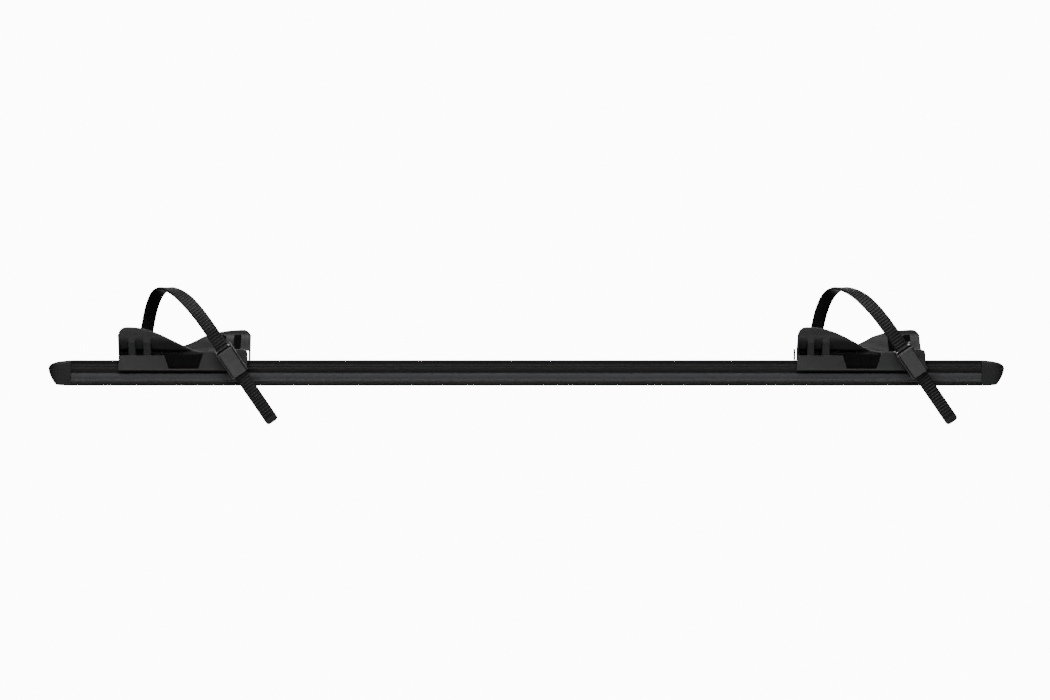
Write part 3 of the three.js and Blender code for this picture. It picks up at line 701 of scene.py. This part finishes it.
def recess_shells():
    """The inner skins at the back of the two sunk trapezoids, with fine ribs, in near-black plastic
    as painted shade.
    """
    low, high = SILL_TOP - 0.8, PANEL_TOP + 1.5
    skins = []
    for side in (-1, 1):
        inner, skin = side * SKIRT_INNER, side * (-RECESS_BACK + 0.3)
        skins.append(cuboid((-32, 32), sorted((inner, skin)), (low, high)))
        ridge = sorted((skin, skin + side * 0.9))
        for x in (-14, -1, 12):
            skins.append(cuboid((x - 0.5, x + 0.5), ridge, (low + 1, high - 1)))
    return merged(*skins)


def end_plate(x_low, x_high, side):
    """The plate that closes a wall's high end, from the deck up into the flare."""
    outline = [(DECK_INNER, DECK_BOTTOM), (35.9, DECK_BOTTOM), (35.9, PANEL_TOP)]
    outline += [(41.0, 54.0), (46.3, 69.0), (43.6, 67.0), (36.0, 58.6), (28.0, 52.6), (22.6, 49.0)]
    return prism([(side * y, z) for y, z in outline], "x", x_low, x_high)


def cradle_shells():
    """Everything but the two walls: bed, decks, blocks, end plates and panels."""
    L, D = HALF_LENGTH, DECK_HALF_LENGTH
    bed = cuboid((-L, L), (-BED_HALF_WIDTH, BED_HALF_WIDTH), (LIP_UNDERSIDE, BED_TOP))
    pad = cuboid((-42, 42), (-19, 19), (BED_TOP - 0.5, PAD_TOP - 0.3))
    grip = [cuboid((x - 1.1, x + 1.1), (-17, 17), (BED_TOP, PAD_TOP)) for x in range(-40, 41, 5)]
    decks = []
    for side in (-1, 1):
        inner_ys = sorted((side * DECK_INNER, side * SKIRT_INNER))
        outer_ys = sorted((side * (SKIRT_INNER - 0.5), side * (SKIRT_OUTER - 0.3)))
        decks.append(cuboid((-D, D), inner_ys, (DECK_BOTTOM, DECK_TOP)))
        for xs in ((-D, -30), (30, D)):
            decks.append(cuboid(xs, outer_ys, (DECK_BOTTOM, DECK_TOP - 0.02)))
    front_outline = block_outline(FRONT_RIM, DECK_BOTTOM, 24.0, L - 0.1)
    front_block = slab(front_outline, RECESS_BACK - 0.4, -DECK_INNER)
    rear_outline = block_outline(REAR_RIM, DECK_BOTTOM, 24.0, WINDOW_START)
    rear_block = slab([(-x, z) for x, z in rear_outline], DECK_INNER, SKIRT_OUTER - 0.05)
    post_zs = (DECK_BOTTOM, REAR_RIM["end"] - 2)
    bead_radius = 0.95
    bead = arc((-L + bead_radius, REAR_RIM["end"] - 1.6), bead_radius, 0, 345, 12)
    ends = [
        end_plate(-L, -L + END_PLATE, -1),
        end_plate(L - END_PLATE, L, 1),
        cuboid((-L, -L + END_PLATE), (DECK_INNER, SKIRT_OUTER), post_zs),
        prism(bead, "y", DECK_INNER + 0.5, SKIRT_OUTER - 0.5),
    ]
    blocks = [front_block, rear_block]
    return merged(bed, pad, *grip, *decks, *blocks, *ends, front_panels(), rear_panels())


def paint_shade_on_ribs(walls, centre):
    """Paints shade on the walls' ribs: a darker copy on their lower outer faces, near black in
    their hollows.
    """
    walls.data.materials.append(DEEP_SHADE_PAINTED_MOULDING)
    walls.data.materials.append(SHADE_PAINTED_MOULDING)
    hollow, outside = 1, 2
    for polygon in walls.data.polygons:
        x, y, z = (value / MM for value in polygon.center)
        along = (x - centre) * (1 if y < 0 else -1)
        inward = polygon.normal.y * y < 0
        if RIB_FOOT < z < RIB_TOP - 1 and any(a < along < b for a, b in RIBS):
            if inward:
                polygon.material_index = hollow
            elif z < RIB_PAINTED_SHADE_TOP:
                polygon.material_index = outside


def make_cradle(side, centre):
    body = f"{side}_holder"
    front = wall_shell(FRONT_RIM, False, HALF_LENGTH - 0.3)
    rear = turned(wall_shell(REAR_RIM, True, WINDOW_START - 0.3), HALF_TURN)
    walls = piece(f"{side}_cradle_walls", merged(front, rear), body, MOULDING,
                  bevel=0.25, shift=centre)
    paint_shade_on_ribs(walls, centre)
    piece(f"{side}_cradle_body", cradle_shells(), body, MOULDING,
          bevel=0.6, segments=3, stands_for=(f"{side}_cradle",), shift=centre)
    # The recess skins are near black: painted shade at the back of each recess.
    piece(f"{side}_recess_painted_shade_skins", recess_shells(), body, DEEP_SHADE_PAINTED_MOULDING,
          bevel=0.15, shift=centre)


# ---- strap ------------------------------------------------------------------------------------


def strap_centreline():
    """From the anchor behind the cradle, over the tyre, and down through the buckle."""
    rear = SKIRT_OUTER + 0.4 + STRAP_THICKNESS / 2
    loop = [
        (-63.1, rear, 31.2),
        (-61.4, rear, 40),
        (-59.5, rear, 50.5),
        (-56.6, rear - 1.9, 64),
        (-53, 32.2, 80.9),
        (-48.3, 25.8, 101.2),
        (-42.1, 17.2, 117.2),
        (-35.2, 7, 126.3),
        (-26, -5.5, 130),
        (-12.5, -19.5, 126.5),
        (1.8, -32, 117),
        (16.4, -39.1, 102.2),
        (28.7, -42.7, 86.8),
    ]
    middle = BUCKLE + OUTWARD * STRAP_CENTRE_OUT
    tail = [middle + FALL * x for x in (-52, -40, -22, 0, 20, 50, 75, TAIL_END)]
    return [Vector(point) for point in loop] + tail


def centripetal(points, samples=60):
    """Points on a centripetal Catmull-Rom curve, its ends mirrored, as the CAD's strap is made."""
    ends = [2 * points[0] - points[1], *points, 2 * points[-1] - points[-2]]
    result = []
    for p0, p1, p2, p3 in zip(ends, ends[1:], ends[2:], ends[3:]):
        t = [0.0]
        for a, b in ((p0, p1), (p1, p2), (p2, p3)):
            t.append(t[-1] + math.sqrt((b - a).length))
        for i in range(samples):
            u = t[1] + (t[2] - t[1]) * i / samples
            a1 = p0 * ((t[1] - u) / (t[1] - t[0])) + p1 * ((u - t[0]) / (t[1] - t[0]))
            a2 = p1 * ((t[2] - u) / (t[2] - t[1])) + p2 * ((u - t[1]) / (t[2] - t[1]))
            a3 = p2 * ((t[3] - u) / (t[3] - t[2])) + p3 * ((u - t[2]) / (t[3] - t[2]))
            b1 = a1 * ((t[2] - u) / (t[2] - t[0])) + a2 * ((u - t[0]) / (t[2] - t[0]))
            b2 = a2 * ((t[3] - u) / (t[3] - t[1])) + a3 * ((u - t[1]) / (t[3] - t[1]))
            result.append(b1 * ((t[2] - u) / (t[2] - t[1])) + b2 * ((u - t[1]) / (t[2] - t[1])))
    return result + [points[-1]]


class Route:
    """A curve by distance along it, with the strap's own axes at each place."""

    def __init__(self, points):
        self.points = np.array([tuple(p) for p in points])
        steps = np.linalg.norm(np.diff(self.points, axis=0), axis=1)
        self.at = np.concatenate([[0], np.cumsum(steps)])
        self.length = self.at[-1]

    def place(self, distance):
        return Vector([float(np.interp(distance, self.at, self.points[:, k])) for k in range(3)])

    def axes(self, distance):
        run = (self.place(distance + 0.6) - self.place(distance - 0.6)).normalized()
        out = Vector((0, run.z, -run.y)).normalized()
        return out.cross(run).normalized(), out


def strap_ring(route, distance, half, low, high, soft):
    """A cross-section of the strap with corners rounded by soft."""
    centre = route.place(distance)
    across, out = route.axes(distance)
    soft = min(soft, half * 0.5, (high - low) * 0.5)
    points = rounded_box((-half, half), (low, high), max(soft, 0.05), 3)
    return [tuple(centre + across * a + out * b) for a, b in points]


def round_end(end, half, corner):
    """(distance, half width) over an end's two round corners, from the first point past them."""
    angles = [math.pi / 2 * i / 6 for i in range(7)]
    return [
        (end - corner + corner * math.sin(a), half - corner + corner * math.cos(a)) for a in angles
    ]


def strap_body(route):
    """The plain band: a round end at the anchor, two round corners at the tip."""
    half, thick = STRAP_HALF_WIDTH, STRAP_THICKNESS / 2
    stations = []
    for i in range(9):
        angle = math.pi / 2 * i / 8
        stations.append((half * (1 - math.cos(angle)), max(half * math.sin(angle), 1.2)))
    for distance in np.linspace(half + 1, route.length - STRAP_CORNER - 0.5, 190):
        stations.append((float(distance), half))
    stations += round_end(route.length, half, STRAP_CORNER)
    return loft([strap_ring(route, at, wide, -thick, thick, STRAP_EDGE) for at, wide in stations])


def tooth_rack(route):
    """The ladder of teeth: each has a steep face, a flat crest and a slope to the next valley."""
    buckle_at = route.length - TAIL_END
    last = math.floor((TAIL_END - TIP_PLAIN - VALLEY) / TOOTH_PITCH)
    base, valley = STRAP_THICKNESS / 2 - 0.3, STRAP_THICKNESS / 2
    profile = [(0.1, 0.1), (0.45, 0.85), (0.75, 1.0), (2.0, 1.0), (2.35, 0.85), (3.0, 0.1)]
    teeth = []
    for tooth in range(last - TEETH, last):
        start = buckle_at + VALLEY + tooth * TOOTH_PITCH
        rings = []
        for offset, share in profile:
            top = valley + TOOTH_HEIGHT * share
            rings.append(strap_ring(route, start + offset, TOOTH_HALF_WIDTH, base, top, 0.35))
        teeth.append(loft(rings))
    return merged(*teeth, tip_pad(route))


def tip_pad(route):
    """The smooth thumb pad that ends the rack."""
    base, top = STRAP_THICKNESS / 2 - 0.3, STRAP_THICKNESS / 2 + 0.25
    stations = [(route.length - TIP_PLAIN + 0.6, TOOTH_HALF_WIDTH)]
    stations += round_end(route.length - 0.9, TOOTH_HALF_WIDTH, 3.6)
    return loft([strap_ring(route, at, half, base, top, 0.2) for at, half in stations])


def make_strap(side, centre):
    route = Route(centripetal(strap_centreline()))
    piece(f"{side}_ladder_strap", strap_body(route), f"{side}_holder", SHADE_PAINTED_STRAP,
          stands_for=(f"{side}_strap",), shift=centre)
    piece(f"{side}_strap_teeth", tooth_rack(route), f"{side}_holder", LIGHT_PAINTED_TEETH,
          shift=centre)


# ---- ratchet buckle ---------------------------------------------------------------------------


def frame_shell():
    """The pressed channel: a base against the cradle's face and two cheeks."""
    half, inner = FRAME_HALF_WIDTH, FRAME_HALF_WIDTH - FRAME_CHEEK
    start, end = FRAME_REACH
    base = prism(rounded_box(FRAME_REACH, (-half, half), 1.5), "z", GAP, 3.0)
    cheek = [(start, GAP), (end, GAP), (end, 12.0), (18.4, 13.6), (17.0, 14.4), (-18.6, 14.4)]
    cheek += [(-20.6, 15.1), (-22.6, 15.6), (-24.2, 14.9), (start, 13.2)]
    return merged(base, slab(cheek, -half, -inner), slab(cheek, inner, half))


def lever_shell():
    """A flat paddle, two ears under it and a hub at its axle."""
    half = LEVER_HALF_WIDTH
    plate = prism(rounded_box(LEVER_REACH, (-half, half), 1.0), "z", *LEVER_LAYER)
    ear = [(-14, 15), (-12.4, 11.9), (-11.6, 11.3), (-5, 11.3), (16, 12.6)]
    ear += [(16.6, 13.2), (16.6, 15)]
    hub = slab(arc(AXLE, 2.5, 0, 345, 23), -half, half)
    ears = [slab(ear, -half, LEVER_EAR - half), slab(ear, half - LEVER_EAR, half)]
    return merged(plate, *ears, hub)


def holding_shell():
    """The pawl in the frame: a bar across, with a tooth down into the strap."""
    bar = arc(HOLDING_AXLE, 1.5, 20, 215, 12)
    bar += [(-22.4, 11.1), (-21.3, 10.4), (-20.9, 10.4), (-20.6, 11.2)]
    return slab(bar, -PAWL_HALF_WIDTH, PAWL_HALF_WIDTH)


def make_buckle(side, centre):
    """The frame, the lever and the holding pawl, each on its own body."""

    def put(name, shell, body, material, bevel, node):
        piece(f"{side}_{name}", turned(shell, BUCKLE_AXES), f"{side}_{body}", material,
              bevel=bevel, segments=3, stands_for=(f"{side}_{node}",), shift=centre)

    put("buckle_channel", frame_shell(), "holder", BLACK_STEEL, 0.4, "buckle_frame")
    put("lever_paddle", lever_shell(), "lever", LEVER, 0.45, "ratchet_lever")
    put("stop_pawl", holding_shell(), "holding_pawl_body", PAWL_STEEL, 0.2,
        "holding_pawl")


def finish_cad_nodes():
    """The small pieces that keep their CAD shape get rounded edges and their metal."""
    slots = {entry["node"]: entry["material_slot"] for entry in frame["record"]["subparts"]}
    metals = {"zinc_steel": ZINC, "black_steel": BLACK_STEEL}
    for name, node in frame["nodes"].items():
        metal = metals.get(slots.get(name))
        if metal is None:
            continue
        for entry in node.material_slots:
            entry.material = metal
        round_edges(node, 0.18)


# ---- stage, light and camera ------------------------------------------------------------------


def stage_object(name, verts, faces, material):
    """A backdrop mesh that neither lights the object nor shows in its gloss."""
    mesh = bpy.data.meshes.new(name)
    mesh.from_pydata(verts, [], faces)
    mesh.materials.append(material)
    mesh.shade_smooth()
    obj = bpy.data.objects.new(name, mesh)
    bpy.context.scene.collection.objects.link(obj)
    obj.visible_diffuse = False
    obj.visible_glossy = False
    obj.visible_shadow = False


def make_stage():
    """A pale dome and, far below the rail, a pale floor. Their sizes are in metres."""
    pale = backdrop_material()
    radius, floor, sides, levels = 14.0, -6.0, 48, 16
    turns = [2 * math.pi * j / sides for j in range(sides)]
    verts, faces = [], []
    for i in range(levels + 1):
        angle = math.pi * (i / levels - 0.5)
        flat, height = radius * math.cos(angle), radius * math.sin(angle)
        verts += [(flat * math.cos(turn), flat * math.sin(turn), height) for turn in turns]
    for i in range(levels):
        for j in range(sides):
            a, b = i * sides + j, i * sides + (j + 1) % sides
            faces.append((a, b, b + sides, a + sides))
    stage_object("dome", verts, faces, pale)
    reach = 0.99 * radius
    rim = [(reach * math.cos(turn), reach * math.sin(turn), floor) for turn in turns]
    stage_object("floor", rim, [tuple(range(sides))], pale)


def area_light(name, place, target, size, power):
    """A rectangular light at a place, facing a target; metres and watts."""
    data = bpy.data.lights.new(name, "AREA")
    data.shape = "RECTANGLE"
    data.size, data.size_y = size
    data.energy = power
    light = bpy.data.objects.new(name, data)
    light.location = place
    light.rotation_euler = (Vector(target) - Vector(place)).to_track_quat("-Z", "Y").to_euler()
    bpy.context.scene.collection.objects.link(light)


def make_lights():
    """Long soft boxes over, before, under and behind the rail, in a nearly dark world."""
    world = bpy.data.worlds.new("studio")
    world.use_nodes = True
    background = world.node_tree.nodes["Background"]
    background.inputs["Color"].default_value = (1, 1, 1, 1)
    background.inputs["Strength"].default_value = 0.04
    bpy.context.scene.world = world
    foot, middle = (0, 0, 0), (0, 0, 0.03)
    area_light("overhead", (0.2, -0.4, 1.8), foot, (3.4, 1.0), 20)
    area_light("front", (-0.3, -1.9, 2.0), middle, (3.4, 1.0), 64)
    area_light("bounce", (0.0, -1.6, -1.5), middle, (3.4, 1.0), 22)
    area_light("behind", (0.6, 2.3, 1.5), middle, (3.4, 1.4), 60)
    area_light("behind_low", (0.0, 1.8, -1.2), middle, (3.4, 1.0), 14)


def make_camera():
    """A long lens, level, square to the rail."""
    data = bpy.data.cameras.new("camera")
    data.sensor_width = 36.0
    data.lens = 134.9
    camera = bpy.data.objects.new("camera", data)
    camera.location = (-0.00175, -5.286, 0.0478)
    camera.rotation_euler = (math.pi / 2, 0, 0)
    bpy.context.scene.collection.objects.link(camera)
    bpy.context.scene.camera = camera


make_camera()
make_stage()
make_lights()
make_rail()
for holder_side, holder_centre in HOLDERS.items():
    make_cradle(holder_side, holder_centre)
    make_strap(holder_side, holder_centre)
    make_buckle(holder_side, holder_centre)
finish_cad_nodes()
